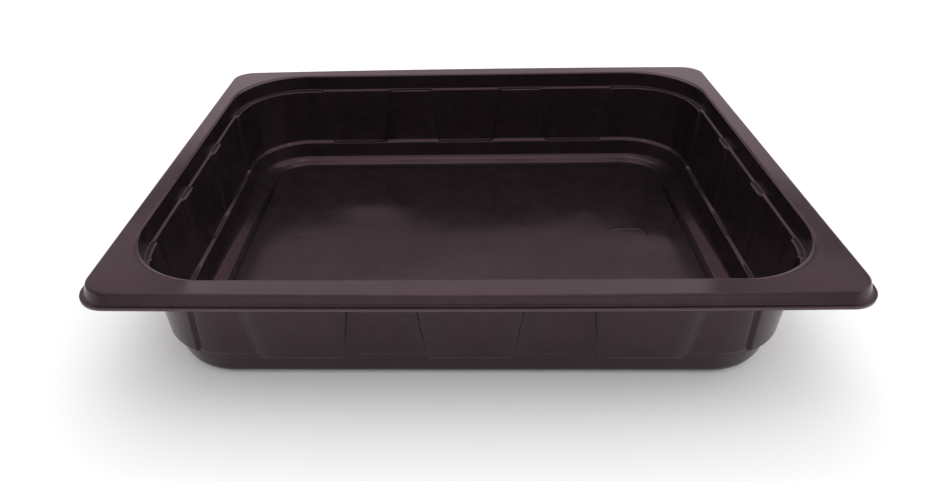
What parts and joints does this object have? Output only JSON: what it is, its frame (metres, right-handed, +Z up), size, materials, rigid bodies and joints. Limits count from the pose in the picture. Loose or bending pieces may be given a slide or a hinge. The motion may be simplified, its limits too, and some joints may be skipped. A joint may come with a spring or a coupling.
{
  "type": "gastronorm tray",
  "caption": "Half-size plastic gastronorm tray: one thin formed sheet with a flat flange, a trim lip, panelled sloping walls and a raised floor inside a foot ring.",
  "frame": {"origin": "on the table under the middle of the tray", "axes": "+X along the long sides, +Y across, +Z up out of the open top"},
  "size_m": [0.325, 0.265, 0.0615],
  "materials": {
    "tray_plastic": "very dark brown, soft gloss, faint moulded unevenness"
  },
  "bodies": {
    "root": {"tray": "tray_plastic"}
  },
  "joints": []
}
